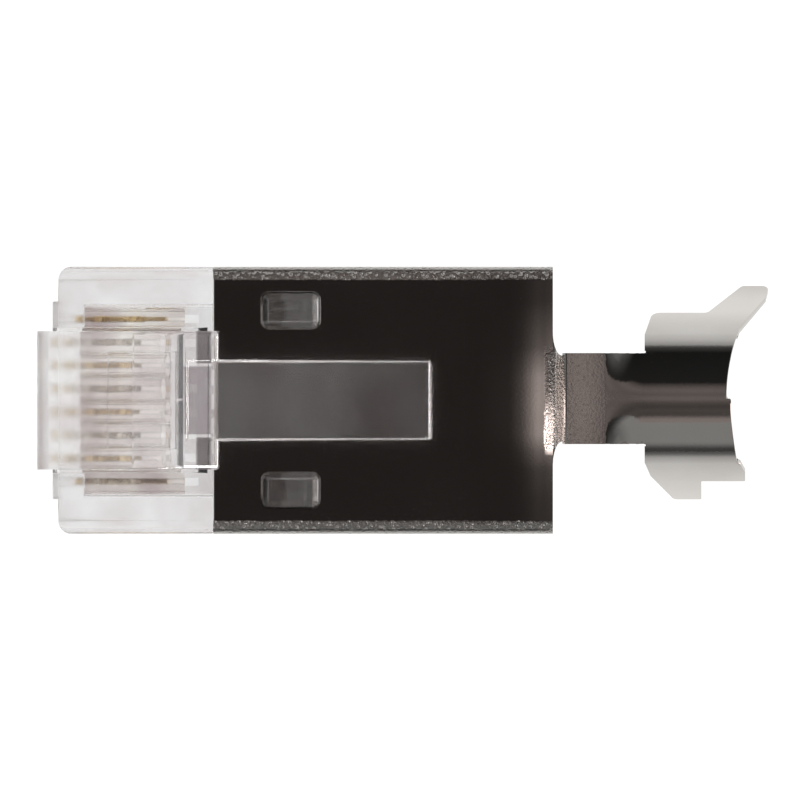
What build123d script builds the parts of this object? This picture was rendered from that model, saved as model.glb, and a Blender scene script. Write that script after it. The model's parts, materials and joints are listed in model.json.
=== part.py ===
from build123d import *
from math import asin, atan2, cos, degrees, hypot, radians, sin, sqrt, tan
import os

# A shielded eight position modular plug, uncrimped, in millimetres.
# X runs from the nose to the tail, Z from the contact side up to the latch side.
# The origin is the middle of the front face, on the plane of the contact side.

# Plug body, by the standard interface
body_width = 11.68
body_height = 6.6
contact_count = 8
contact_pitch = 1.016
latch_width = 6.05
tab_width = 3.41
cable_od = 6.0

# Folded sheet metal shell
sheet = 0.25
fold_radius = 0.57
shell_front = 7.01
shell_rear = 21.86
shell_gap = 0.02
seam_gap = 0.08
window_x = 10.40
window_y = 3.93
window_length = 2.60
window_width = 1.63
window_corner = 0.38
relief_x = 13.2
relief_length = 3.2
relief_width = 6.2
relief_corner = 0.4

# Tail of the shell: joggled neck, flat plate, open crimp barrel
neck_half_width = 1.88
neck_flare_length = 0.42
neck_flare_width = 1.02
joggle_lead = 0.09
joggle_run = 0.37
joggle_drop = 0.60
joggle_radius = 0.30
plate_half_width = 1.99
plate_length = 1.68
forming_length = 1.87
barrel_arc = 120.0
barrel_crest_length = 3.58
barrel_side_length = 4.07
rim_step = 0.20
notch_radius = 0.05
tail_offset = 0.075
cable_clearance = 0.02

# Crimp wings, seen from above: X from the front of the barrel, reach in Y from the edge of its arc
hook_edge_reach = 0.935
hook_front_x = 0.33
hook_root_x = 2.74
hook_tip_reach = 2.105
hook_tip_front_x = 4.25
hook_tip_rear_x = 5.43
hook_back_x = 5.29
hook_back_reach = 1.585
hook_heel_x = 4.15
hook_heel_reach = 0.23
foot_reach = 1.585
foot_neck_x = 0.25
foot_neck_reach = 0.563
foot_front_x = 1.27
foot_rear_x = 2.48
spur_edge_reach = 0.795
spur_tip_x = 4.40
spur_back_reach = 0.44
spur_root_x = 4.19
spur_root_reach = 0.07
shoulder_round = 0.45
blank_round = 0.28
blank_corner = 0.05

# Contact blades
blade_thickness = 0.32
blade_recess = 0.08
blade_front = 0.92
blade_rear = 4.95
blade_top = 1.78
blade_nose_radius = 0.45
tine_front = 1.86
tine_rear = 3.86
tine_neck = 0.56
tine_slope = 0.26
tine_short_of_wire = 0.55

# Moulded housing
front_step_depth = 0.24
front_step_half_width = 4.32
corner_radius = 0.60
nose_edge_chamfer = 0.22
housing_setback = 0.96
slot_rear = 6.4
blade_gap = 0.02
cavity_above_blade = 0.14
cavity_side_gap = 0.10
cavity_front = 1.36
throat_front = 8.2
throat_rear = 13.4
entry_side_wall = 0.82
entry_floor_wall = 0.73
entry_roof_wall = 0.88
entry_corner = 0.44
pocket_side_gap = 0.15
pocket_end_wall = 0.26
pocket_clearance = 0.12
core_print_front = 2.51
core_print_rear = 5.74
core_print_half_width = 2.14
core_print_depth = 0.15
boss_gap = 0.09
boss_root = 0.14
boss_bevel = 0.24
bar_length = 2.2
bar_width = 5.6
bar_web = 0.35
bar_depth = 0.95

# Wire load bar
load_bar_gap = 0.04
load_bar_rear = 5.78
wire_bore = 1.10
wire_row_step = 0.96
wire_floor = 0.19
wire_roof = 0.13
pierce_side_gap = 0.05
pierce_end_gap = 0.15

# Latch, drawn at rest; it flexes about the line where its root joins the nose
latch_travel = 6.0
knuckle_x = -0.18
knuckle_below_top = 1.25
knuckle_radius = 0.5
knuckle_gap = 0.03
arm_thickness = 0.78
ramp_front = 3.52
ramp_rear = 5.74
shoulder_x = 7.23
shoulder_rise = 1.0
shoulder_height = 1.02
tab_front = 5.87
tab_end = 16.54
tab_slope = 8.0
tab_thickness = 0.82
edge_round = 0.12

# One overrun that lets every cut pass its surface
over = 1.0

# Places that follow from the sizes above
half_width = body_width / 2
shell_inset = sheet + shell_gap
slot_width = blade_thickness + 2 * blade_gap
cavity_floor = blade_top + cavity_above_blade
wire_row_lower = cavity_floor + wire_floor + wire_bore / 2
wire_row_upper = wire_row_lower + wire_row_step
cavity_roof = wire_row_upper + wire_bore / 2 + wire_roof
cavity_half_width = (contact_count - 1) / 2 * contact_pitch + wire_bore / 2 + cavity_side_gap
housing_rear = shell_rear - housing_setback
entry_half_width = half_width - shell_inset - entry_side_wall
entry_floor = shell_inset + entry_floor_wall
entry_roof = body_height - shell_inset - entry_roof_wall
crest_z = body_height - joggle_drop
joggle_top_x = shell_rear + joggle_lead
joggle_foot_x = joggle_top_x + joggle_run
plate_end = joggle_foot_x + plate_length
barrel_front = plate_end + forming_length
barrel_outer = cable_od / 2 + cable_clearance + sheet
barrel_axis_z = crest_z - barrel_outer
arc_edge_y = barrel_outer * sin(radians(barrel_arc / 2))
arc_edge_z = barrel_axis_z + barrel_outer * cos(radians(barrel_arc / 2))
knuckle_z = body_height - knuckle_below_top
shoulder_bottom = body_height + shoulder_rise
shoulder_top = shoulder_bottom + shoulder_height


def box_between(low, high):
    """A box from its lowest to its highest corner."""
    size = [high[i] - low[i] for i in range(3)]
    return Pos(*low) * Box(*size, align=(Align.MIN, Align.MIN, Align.MIN))


def slab(points, y_low, y_high):
    """A solid with a side profile, given as (x, z) points, between two values of Y."""
    face = make_face(Polyline([(x, y_low, z) for x, z in points], close=True).edges())
    return extrude(face, amount=y_high - y_low, dir=(0, 1, 0))


def section_box(x_low, x_high, y_half, z_low, z_high, radius):
    """A box along X whose four long edges are rounded."""
    centre = Plane(origin=(x_low, 0, (z_low + z_high) / 2), x_dir=(0, 1, 0), z_dir=(1, 0, 0))
    face = centre * RectangleRounded(2 * y_half, z_high - z_low, radius)
    return extrude(face, amount=x_high - x_low, dir=(1, 0, 0))


def contact_places():
    """The Y of each contact, the first one at the highest Y."""
    middle = (contact_count - 1) / 2
    return [(middle - i) * contact_pitch for i in range(contact_count)]


def is_long(index):
    """Every other contact is long and reaches the upper row of wires."""
    return index % 2 == 0


# Latch geometry that the housing's pocket follows
shoulder_reach = hypot(shoulder_x - knuckle_x, shoulder_bottom - knuckle_z)
shoulder_angle = degrees(atan2(shoulder_bottom - knuckle_z, shoulder_x - knuckle_x))
arm_angle = shoulder_angle + degrees(asin(knuckle_radius / 2 / shoulder_reach))


def arm_bottom(x):
    """Height of the latch arm's underside at rest."""
    return shoulder_bottom - (shoulder_x - x) * tan(radians(arm_angle))


def pressed(x, z):
    """Where a point of the latch lies once it is pressed down to its stop."""
    turn = radians(latch_travel)
    dx, dz = x - knuckle_x, z - knuckle_z
    return knuckle_x + dx * cos(turn) + dz * sin(turn), knuckle_z + dz * cos(turn) - dx * sin(turn)


def make_latch():
    """Latch: round root, rising arm, ramp up to two shoulders, narrow tab."""
    root_x = knuckle_x + knuckle_radius
    top_z = arm_thickness / cos(radians(arm_angle))
    arm = [
        (knuckle_x, knuckle_z - knuckle_radius / 2),
        (root_x, arm_bottom(root_x)),
        (shoulder_x, shoulder_bottom),
        (shoulder_x, shoulder_top),
        (ramp_rear, shoulder_top - (shoulder_x - ramp_rear) * tan(radians(tab_slope))),
        (ramp_front, arm_bottom(ramp_front) + top_z),
        (knuckle_x, knuckle_z + knuckle_radius),
    ]
    half = latch_width / 2
    wide = slab(arm, -half, half)
    root_plane = Plane(origin=(knuckle_x, -half, knuckle_z), x_dir=(1, 0, 0), z_dir=(0, 1, 0))
    wide += extrude(root_plane * Circle(knuckle_radius), amount=latch_width)

    rise = tan(radians(tab_slope))
    tab_top = shoulder_bottom + tab_thickness / cos(radians(tab_slope))
    groove = [
        (tab_front, tab_top - (shoulder_x - tab_front) * rise),
        (shoulder_x + over, tab_top + over * rise),
        (shoulder_x + over, shoulder_top + over),
        (tab_front, shoulder_top + over),
    ]
    wide -= slab(groove, -tab_width / 2, tab_width / 2)
    wide = chamfer_shoulders(wide)

    end_rise = (tab_end - shoulder_x) * rise
    tab = slab(
        [
            (tab_front, arm_bottom(tab_front)),
            (shoulder_x, shoulder_bottom),
            (tab_end, shoulder_bottom + end_rise),
            (tab_end, tab_top + end_rise),
            (tab_front, tab_top - (shoulder_x - tab_front) * rise),
        ],
        -tab_width / 2,
        tab_width / 2,
    )
    ends = tab.edges().filter_by(lambda e: e.center().X > tab_end - edge_round)
    tab = fillet(ends, edge_round)
    return wide + tab


def chamfer_shoulders(wide):
    """The outer upper edges of the two shoulders are broken, as they lead into the socket."""
    half = latch_width / 2
    lead = [e for e in wide.edges() if abs(abs(e.center().Y) - half) < edge_round / 10]
    lead = [e for e in lead if e.center().Z > shoulder_bottom and e.center().X < shoulder_x - edge_round]
    return chamfer(lead, edge_round)


def make_housing():
    """Clear moulded housing: contact slots, load bar cavity, cable entry, latch pocket, snap bosses."""
    body = section_box(0, shell_front, half_width, 0, body_height, fold_radius)
    inset = half_width - shell_inset
    body += section_box(
        shell_front - over, housing_rear, inset, shell_inset, body_height - shell_inset, fold_radius - sheet
    )
    body = step_front(body)
    body -= latch_pocket()
    body -= section_box(
        cavity_front, throat_front + over / 10, cavity_half_width, cavity_floor, cavity_roof, wire_floor
    )
    body -= cable_entry()
    for y in contact_places():
        body -= box_between(
            (-over, y - slot_width / 2, -over), (slot_rear, y + slot_width / 2, cavity_floor + over / 2)
        )
    body -= relief_recess()
    body += relief_bar()
    for side in (-1, 1):
        body += snap_boss(side * window_y)
    return body


def step_front(body):
    """The front face stands back at both sides, and its outer corners are rounded in plan."""
    for side in (-1, 1):
        low, high = sorted((side * front_step_half_width, side * (half_width + over)))
        body -= box_between((-over, low, -over), (front_step_depth, high, body_height + over))
        centre_x = front_step_depth + corner_radius
        centre_y = side * (half_width - corner_radius)
        low, high = sorted((centre_y, side * (half_width + over)))
        corner = box_between((-over, low, -over), (centre_x, high, body_height + over))
        corner -= Pos(centre_x, centre_y, -2 * over) * Cylinder(
            corner_radius, body_height + 4 * over, align=(Align.CENTER, Align.CENTER, Align.MIN)
        )
        body -= corner
    lower_front = [
        (-over, -over),
        (nose_edge_chamfer, -over),
        (nose_edge_chamfer, 0),
        (0, nose_edge_chamfer),
        (-over, nose_edge_chamfer),
    ]
    return body - slab(lower_front, -front_step_half_width, front_step_half_width)


def latch_pocket():
    """The pocket that the latch sinks into, a shallow core print in its floor, and the seat of the root."""
    pocket_half_width = latch_width / 2 + pocket_side_gap
    pocket_rear = shell_front - pocket_end_wall
    front_x, front_z = pressed(knuckle_x + knuckle_radius, arm_bottom(knuckle_x + knuckle_radius))
    end_x, end_z = pressed(shoulder_x, shoulder_bottom)
    slope = (end_z - front_z) / (end_x - front_x)
    floor_front = front_z - pocket_clearance
    floor_rear = floor_front + (pocket_rear - front_x) * slope
    seat_radius = knuckle_radius + knuckle_gap
    outline = [
        (-over, knuckle_z),
        (knuckle_x, knuckle_z - seat_radius / 2),
        (front_x, floor_front),
        (pocket_rear, floor_rear),
        (pocket_rear, body_height + over),
        (-over, body_height + over),
    ]
    pocket = slab(outline, -pocket_half_width, pocket_half_width)
    print_low = floor_front - core_print_depth
    core_print = [
        (core_print_front, print_low + (core_print_front - front_x) * slope),
        (core_print_rear, print_low + (core_print_rear - front_x) * slope),
        (core_print_rear, body_height),
        (core_print_front, body_height),
    ]
    pocket += slab(core_print, -core_print_half_width, core_print_half_width)
    seat = Plane(origin=(knuckle_x, -pocket_half_width, knuckle_z), x_dir=(1, 0, 0), z_dir=(0, 1, 0))
    pocket += extrude(seat * Circle(seat_radius), amount=2 * pocket_half_width)
    return pocket


def cable_entry():
    """The cavity for the cable behind the load bar, with a tapered throat."""
    wide = section_box(
        throat_rear, housing_rear + over, entry_half_width, entry_floor, entry_roof, entry_corner
    )
    faces = []
    for x, half, low, high in (
        (throat_front, cavity_half_width, cavity_floor, cavity_roof),
        (throat_rear, entry_half_width, entry_floor, entry_roof),
    ):
        plane = Plane(origin=(x, 0, (low + high) / 2), x_dir=(0, 1, 0), z_dir=(1, 0, 0))
        faces.append(plane * Rectangle(2 * half, high - low))
    return wide + loft(faces, ruled=True)


def relief_recess():
    """The opening in the contact side that frees the strain relief bar."""
    low = relief_x - relief_length / 2
    return box_between(
        (low, -relief_width / 2, -over), (low + relief_length, relief_width / 2, entry_floor + over)
    )


def relief_bar():
    """The strain relief bar, held by a thin web at its front edge until it is pressed in."""
    low = relief_x - relief_length / 2
    web_top = shell_inset + bar_depth
    profile = [
        (low - over / 10, web_top - bar_web),
        (low + relief_length - bar_length, web_top - bar_web),
        (low + relief_length - bar_length + bar_web, shell_inset),
        (low + relief_length - bar_web, shell_inset),
        (low + relief_length - bar_web, web_top),
        (low - over / 10, web_top),
    ]
    return slab(profile, -bar_width / 2, bar_width / 2)


def snap_boss(y):
    """A boss that snaps into a window of the shell, bevelled all round so that the shell slides over it."""
    length = window_length - 2 * boss_gap
    width = window_width - 2 * boss_gap
    base = body_height - shell_inset - boss_root
    outline = Plane(origin=(window_x, y, base)) * RectangleRounded(length, width, window_corner - boss_gap)
    boss = extrude(outline, amount=body_height - base)
    top = boss.faces().sort_by(Axis.Z)[-1]
    return chamfer(top.edges(), boss_bevel)


def make_load_bar():
    """Wire load bar: two staggered rows of wire bores, each open below for a contact."""
    bar = section_box(
        cavity_front + load_bar_gap,
        load_bar_rear,
        cavity_half_width - load_bar_gap,
        cavity_floor + load_bar_gap,
        cavity_roof - load_bar_gap,
        wire_floor,
    )
    length = load_bar_rear - cavity_front
    for index, y in enumerate(contact_places()):
        z = wire_row_upper if is_long(index) else wire_row_lower
        plane = Plane(origin=(cavity_front, y, z), x_dir=(0, 1, 0), z_dir=(1, 0, 0))
        bar -= extrude(plane * Circle(wire_bore / 2), amount=length + over)
        half_slot = blade_thickness / 2 + pierce_side_gap
        bar -= box_between(
            (tine_front - pierce_end_gap, y - half_slot, 0), (tine_rear + pierce_end_gap, y + half_slot, z)
        )
    return bar


def make_contact(index, y):
    """A blanked contact blade: a flat body with a round nose and two piercing tines."""
    tip = (wire_row_upper if is_long(index) else wire_row_lower) - tine_short_of_wire
    shoulder = tip - tine_slope
    points = [
        (blade_front, blade_recess),
        (blade_rear, blade_recess),
        (blade_rear, blade_top),
        (tine_rear, blade_top),
        (tine_rear, shoulder),
        (tine_rear - tine_neck / 2, tip),
        (tine_rear - tine_neck, shoulder),
        (tine_rear - tine_neck, blade_top),
        (tine_front + tine_neck, blade_top),
        (tine_front + tine_neck, shoulder),
        (tine_front + tine_neck / 2, tip),
        (tine_front, shoulder),
        (tine_front, blade_top),
        (blade_front, blade_top),
    ]
    blade = slab(points, y - blade_thickness / 2, y + blade_thickness / 2)
    corners = [e for e in blade.edges().filter_by(Axis.Y) if e.center().X < blade_front + blade_recess]
    return fillet(corners, blade_nose_radius)


def shell_tube():
    """The folded tube of the shell with its seam, boss windows and relief window."""
    middle = body_height / 2
    outer = section_box(shell_front, shell_rear, half_width, 0, body_height, fold_radius)
    inner_radius = fold_radius - sheet
    inner = section_box(
        shell_front - over, shell_rear + over, half_width - sheet, sheet, body_height - sheet, inner_radius
    )
    tube = outer - inner
    tube -= box_between(
        (shell_front - over, -seam_gap / 2, -over), (shell_rear + over, seam_gap / 2, middle)
    )
    window = RectangleRounded(window_length, window_width, window_corner)
    for side in (-1, 1):
        plane = Plane(origin=(window_x, side * window_y, middle))
        tube -= extrude(plane * window, amount=middle + over)
    relief = Plane(origin=(relief_x, 0, -over)) * RectangleRounded(relief_length, relief_width, relief_corner)
    return tube - extrude(relief, amount=middle)


def neck_and_plate():
    """The tail strip: the upper wall runs on, steps down in a joggle, and ends in a flat plate."""
    mid_top = body_height - sheet / 2
    mid_low = crest_z - sheet / 2
    path = FilletPolyline(
        (joggle_top_x - neck_flare_width, 0, mid_top),
        (joggle_top_x, 0, mid_top),
        (joggle_foot_x, 0, mid_low),
        (plate_end, 0, mid_low),
        radius=joggle_radius,
    )
    strip_width = 2 * (neck_half_width + neck_flare_width)
    start = Plane(origin=path @ 0, x_dir=(0, 1, 0), z_dir=path % 0)
    strip = sweep(start * Rectangle(strip_width, sheet), path=path)
    return strip & neck_outline(strip_width)


def neck_outline(strip_width):
    """The plan outline of the tail strip: wide on the shell, flared into the neck, then the plate."""
    depth = 2 * body_height
    plate_start = shell_rear + neck_flare_length
    outline = box_between((joggle_top_x - over, -strip_width, -depth), (shell_rear, strip_width, depth))
    for start, end, half in (
        (shell_rear - over / 2, plate_start, neck_half_width), (plate_start, plate_end, plate_half_width)
    ):
        outline += box_between((start, -half, -depth), (end, half, depth))
    for side in (-1, 1):
        low, high = sorted((side * neck_half_width, side * (neck_half_width + neck_flare_width)))
        web = box_between((shell_rear - over / 2, low, -depth), (plate_start, high, depth))
        ellipse = Pos(plate_start, side * (neck_half_width + neck_flare_width), -depth) * Ellipse(
            neck_flare_length, neck_flare_width
        )
        outline += web - extrude(ellipse, amount=2 * depth)
    return outline


def arc_section(x, half, radius):
    """A section of the tail sheet at one X: an arc of a given outer radius, with its crest on the plate."""
    axis_z = crest_z - radius
    inner = radius - sheet
    turn = half / radius
    rise_outer, rise_inner = radius * sqrt(1 - turn**2), inner * sqrt(1 - turn**2)
    out_y, in_y = radius * turn, inner * turn
    outer_low, outer_top, outer_high = [
        (x, y, axis_z + rise) for y, rise in ((-out_y, rise_outer), (0, radius), (out_y, rise_outer))
    ]
    inner_low, inner_top, inner_high = [
        (x, y, axis_z + rise) for y, rise in ((-in_y, rise_inner), (0, inner), (in_y, rise_inner))
    ]
    edges = [
        ThreePointArc(outer_low, outer_top, outer_high),
        Line(outer_high, inner_high),
        ThreePointArc(inner_high, inner_top, inner_low),
        Line(inner_low, outer_low),
    ]
    return make_face(edges)


def plate_to_barrel():
    """The part of the plate that curves from flat to the radius of the barrel."""
    steps = 5
    faces = []
    for i in range(steps):
        share = i / (steps - 1)
        eased = share * share * (3 - 2 * share)
        bend = max(eased, sheet / body_width) / barrel_outer
        x = plate_end + (barrel_front - plate_end) * share
        faces.append(arc_section(x, plate_half_width, 1 / bend))
    return loft(faces)


def crimp_barrel():
    """The curved saddle of the crimp barrel, with its hollow rear edge and the step in it."""
    section = arc_section(barrel_front, arc_edge_y, barrel_outer)
    saddle = extrude(section, amount=barrel_side_length, dir=(1, 0, 0))
    depth = 2 * body_height
    for side, crest_length in ((1, barrel_crest_length), (-1, barrel_crest_length + rim_step)):
        sag = barrel_side_length - crest_length
        scoop = (arc_edge_y**2 + sag**2) / (2 * sag)
        edge = barrel_front + crest_length
        low, high = sorted((0, side * (half_width + over)))
        trim = Pos(edge + scoop, 0, 0) * Cylinder(scoop, 2 * depth)
        saddle -= trim & box_between((edge - over, low, -depth), (edge + scoop, high, depth))
    for side in (-1, 1):
        corner = Pos(barrel_front, side * (plate_half_width + notch_radius), 0)
        saddle -= corner * Cylinder(notch_radius, 2 * depth)
    return saddle


def wing(side, outline):
    """A flat crimp wing, tangent to the saddle. Its outline has rows of x, reach and corner radius."""
    half_angle = radians(barrel_arc / 2)
    normal = Vector(0, side * sin(half_angle), cos(half_angle))
    plane = Plane(origin=(barrel_front, side * arc_edge_y, arc_edge_z), x_dir=(1, 0, 0), z_dir=normal)
    points = [(0, 0)] + [(x, side * reach / cos(half_angle)) for x, reach, radius in outline]
    points.append((barrel_side_length, 0))
    corners = [0] + [radius for x, reach, radius in outline] + [0]
    blank = make_face(FilletPolyline(points, radius=corners, close=True).edges())
    return extrude(plane * blank, amount=-sheet)


def crimp_wings():
    """The two wings: one ends in a hook that points away from the plug, the other in a foot and a spur."""
    hook = wing(
        1,
        [
            (hook_front_x, hook_edge_reach, shoulder_round),
            (hook_root_x, hook_edge_reach, blank_round),
            (hook_tip_front_x, hook_tip_reach, blank_round),
            (hook_tip_rear_x, hook_tip_reach, blank_round),
            (hook_back_x, hook_back_reach, blank_round),
            (hook_heel_x, hook_heel_reach, blank_corner),
        ],
    )
    foot = wing(
        -1,
        [
            (foot_neck_x, foot_neck_reach, blank_round),
            (foot_front_x, foot_reach, blank_round),
            (foot_rear_x, foot_reach, blank_corner),
            (foot_rear_x, spur_edge_reach, blank_corner),
            (spur_tip_x, spur_edge_reach, blank_corner),
            (spur_tip_x, spur_back_reach, blank_corner),
            (spur_root_x, spur_root_reach, blank_corner),
        ],
    )
    return hook + foot


def make_shield():
    """Shield: one folded sheet with its tube, joggled tail and open crimp barrel."""
    tail = neck_and_plate() + plate_to_barrel() + crimp_barrel() + crimp_wings()
    return shell_tube() + Pos(0, tail_offset, 0) * tail


nodes = {
    "housing": make_housing(),
    "latch": make_latch(),
    "load_bar": make_load_bar(),
    "shield": make_shield(),
}
for index, y in enumerate(contact_places()):
    nodes[f"contact_{index + 1}"] = make_contact(index, y)

os.makedirs("parts", exist_ok=True)
for name, shape in nodes.items():
    export_step(shape, f"parts/{name}.step")
    print(name, len(shape.solids()), round(shape.volume, 4))
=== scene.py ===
import json
from itertools import combinations
from math import cos, hypot, pi, radians, sin, sqrt

import bmesh
import bpy
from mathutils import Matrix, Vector
from mathutils.geometry import intersect_point_line


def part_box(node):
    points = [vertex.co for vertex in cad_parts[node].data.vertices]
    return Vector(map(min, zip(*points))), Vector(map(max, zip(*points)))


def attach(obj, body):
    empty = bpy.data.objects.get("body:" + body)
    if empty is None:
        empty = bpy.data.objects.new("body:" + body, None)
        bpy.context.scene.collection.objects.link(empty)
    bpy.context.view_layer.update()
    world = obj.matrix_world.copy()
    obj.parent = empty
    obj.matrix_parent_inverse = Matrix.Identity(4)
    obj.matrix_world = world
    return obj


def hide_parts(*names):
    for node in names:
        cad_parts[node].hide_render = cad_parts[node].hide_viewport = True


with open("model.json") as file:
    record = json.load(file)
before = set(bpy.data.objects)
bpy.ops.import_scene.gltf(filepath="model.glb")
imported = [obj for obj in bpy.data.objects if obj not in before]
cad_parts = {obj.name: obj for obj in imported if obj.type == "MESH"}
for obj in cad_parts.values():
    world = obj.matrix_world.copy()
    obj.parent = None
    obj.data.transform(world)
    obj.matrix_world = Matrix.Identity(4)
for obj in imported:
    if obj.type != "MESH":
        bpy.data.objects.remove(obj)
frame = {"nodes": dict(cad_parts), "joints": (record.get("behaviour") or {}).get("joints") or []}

bl_info = {
    "name": "Shielded Modular Plug",
    "version": (1, 0, 0),
    "blender": (4, 5, 0),
    "location": "3D View > Sidebar > Plug",
    "description": "Dresses a shielded modular plug: clear moulded body, folded shell, gold contact blades",
    "category": "Object",
}

MM = 0.001
ZERO = 0.0
FAR = 1.0  # a metre, more than any size of the plug
SAME_PLACE = 0.0005 * MM  # points nearer than this are one
SAME_PLANE = radians(0.2)  # faces that turn less than this are one
CLEAR_TURN = radians(30)  # faces that turn more than this meet at an edge of the form
SLIGHT_TURN = radians(2)  # so do wide faces that turn more than this
FACET_WIDTH = 0.16 * MM  # a face narrower than this may be a facet of a round
RUN_ON = radians(150)  # edges that turn at least this far from one another run on
ROOM_SHARE = 0.45  # share of the room beside an edge that its round may take
LEAST_SHARE = 0.1  # an edge with room for less than this share of a round stays sharp
TAIL_MARGIN = 0.02 * MM  # the curved tail is searched to this nearness
TAIL_TURN = radians(12)  # a face that turns less than this from the tail's curve lies on it
FLAT_SHARE = 0.02  # the flat plate has this share of the barrel's curvature, so that it has a radius
JOINT_SHARE = 1.15  # a face nearer to the hinge than this many radii of the root lies in the joint
CLOUD_RANGE = (0.4, 0.65)  # where a noise, of 0 to 1, begins to count and counts in full
SPECK_RANGE = (0.55, 0.75)
PIT_RANGE = (0.15, 0.4)
RIPPLE_STRENGTH = 0.1
GRAIN_STRENGTH = (0.02, 1.0)  # on the flat sheet and on its folds
POLISH_SPREAD = 2.5  # the coarsest polish has this many times the roughness of the finest
SPECK_SPREAD = 2.0  # so have the specks, against the sheet
BRUSH_SPREAD = (0.7, 1.5)  # finest and coarsest line, as shares of the blades' roughness
SIDE_RANGE = (0.3, 0.8)  # share of a level direction across the plug where the room's side light changes
STRIP_END, STRIP_FADE = 0.85, 0.08  # share of a level direction along the plug where the strip ends
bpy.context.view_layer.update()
blade_nodes = sorted(name for name in frame["nodes"] if name.startswith("contact_"))


# The light of each card: rows of place in millimetres and level, first along the plug and then across it.
CARD_LIGHT = {
    "shell_card": (((0.0, 0.0), (22.0, 0.0)), ((-8.0, 0.0), (8.0, 0.0))),
    "glow_card": (
        ((18.6, 0.0), (20.0, 0.01), (20.5, 0.07), (20.9, 0.26), (21.2, 0.5), (21.5, 0.42), (21.7, 0.6),
         (22.3, 0.8)),
        ((-8.0, 0.02), (-4.3, 0.06), (-3.0, 0.12), (-2.2, 0.38), (-1.5, 0.85), (-0.2, 0.95), (1.0, 0.85),
         (1.5, 0.6), (2.3, 0.25), (4.3, 0.06), (8.0, 0.02)),
    ),
    "corner_card": (
        ((21.5, 0.3), (21.65, 1.0), (22.3, 1.0)),
        ((-2.4, 0.5), (-1.9, 4.5), (-0.9, 4.5), (-0.4, 1.4), (0.1, 0.65)),
    ),
    "tail_card": (
        ((22.3, 0.9), (22.45, 1.4), (22.6, 2.0), (22.9, 2.5), (23.3, 2.1), (23.6, 1.5), (23.9, 0.95),
         (24.4, 0.62), (25.0, 0.7), (25.9, 1.0)),
        ((-42.0, 0.31), (-34.0, 0.29), (-27.0, 0.1), (-23.7, 0.085), (-18.6, 0.1), (-12.0, 0.075),
         (-6.0, 0.11), (-1.0, 0.185), (2.0, 0.18), (5.7, 0.145), (12.0, 0.18), (17.0, 0.14), (23.0, 0.06),
         (25.0, 0.03)),
    ),
    "front_card": (((0.0, 0.2), (1.0, 0.2)), ((-36.0, 1.0), (-8.0, 1.0))),
    "front_shade": (((0.0, 0.02), (1.0, 0.02)), ((-60.0, 1.0), (-18.0, 1.0))),
    "back_card": (((0.0, 0.24), (1.0, 0.24)), ((6.6, 1.0), (80.0, 1.0))),
    "rear_card": (
        ((0.0, 1.0), (15.0, 1.0)),
        ((-12.0, 0.2), (-4.5, 0.25), (-3.2, 2.4), (-2.0, 2.6), (-0.3, 2.0), (0.3, 0.6), (1.0, 0.3),
         (2.0, 0.15), (5.0, 0.1)),
    ),
}
# The light table's glow: rows of place across the plug in millimetres and level.
TABLE_LIGHT = (
    (-90.0, 0.02), (-51.0, 0.08), (-35.0, 0.18), (-21.7, 0.43), (-14.9, 0.55), (-10.3, 0.7), (-9.7, 0.83),
    (-8.9, 0.94), (-8.0, 1.07), (-7.2, 1.15), (-6.0, 0.94), (6.0, 0.94), (7.6, 1.15), (8.6, 1.12),
    (9.3, 0.97), (10.0, 0.87), (10.5, 0.8), (14.0, 0.71), (25.7, 0.57), (47.0, 0.42), (200.0, 0.28),
)
# The room's light: rows of degrees from straight up and level. Gloss sees the first three, at the ends of the
# plug, behind it and in front of it, with the strip added at the nose. The clear parts show the fourth.
ROOM_LIGHT = {
    "side": ((0, 0.02), (14, 0.03), (30, 0.1), (50, 0.14), (80, 0.3), (92, 0.3)),
    "back": ((0, 0.02), (14, 0.02), (76, 0.012), (86, 0.06), (94, 0.3)),
    "front": (
        (0, 0.02), (14, 0.06), (24, 0.3), (70, 0.3), (74, 0.26), (77, 0.2), (80, 0.13), (84, 0.07), (92, 0.06)
    ),
    "through": ((8, 0.02), (18, 0.9)),
    "strip": ((36, 0.0), (42, 1.0), (66, 1.0), (74, 0.0)),
}


def linear(hex_text):
    """Turns an sRGB colour, written as six hex digits, to the linear colour that shaders take."""
    colour = []
    for start in (0, 2, 4):
        value = int(hex_text[start:start + 2], 16) / 255
        colour.append(value / 12.92 if value <= 0.04045 else ((value + 0.055) / 1.055) ** 2.4)
    return (*colour, 1.0)


def add_node(tree, kind, inputs=None, **settings):
    """Adds a node, sets its properties, and sets or links its inputs, each by name or number."""
    node = tree.nodes.new(kind)
    for name, value in settings.items():
        setattr(node, name, value)
    for key, value in (inputs or {}).items():
        socket = node.inputs[key]
        if isinstance(value, bpy.types.NodeSocket):
            tree.links.new(value, socket)
        else:
            socket.default_value = value
    return node


def set_ramp(node, stops):
    """Sets a colour ramp's stops, given as rows of place and grey level or colour."""
    ramp = node.color_ramp
    while len(ramp.elements) > 1:
        ramp.elements.remove(ramp.elements[-1])
    for index, (place, value) in enumerate(stops):
        element = ramp.elements[0] if index == 0 else ramp.elements.new(place)
        element.position = place
        element.color = (value, value, value, 1.0) if isinstance(value, float) else value
    return node


def new_material(name):
    """A material with an empty tree, its output, a principled shader and the object's own coordinates."""
    material = bpy.data.materials.new(name)
    material.use_nodes = True
    tree = material.node_tree
    tree.nodes.clear()
    shader = add_node(tree, "ShaderNodeBsdfPrincipled")
    add_node(tree, "ShaderNodeOutputMaterial", {"Surface": shader.outputs["BSDF"]})
    coords = add_node(tree, "ShaderNodeTexCoord").outputs["Object"]
    return material, tree, shader, coords


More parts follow.
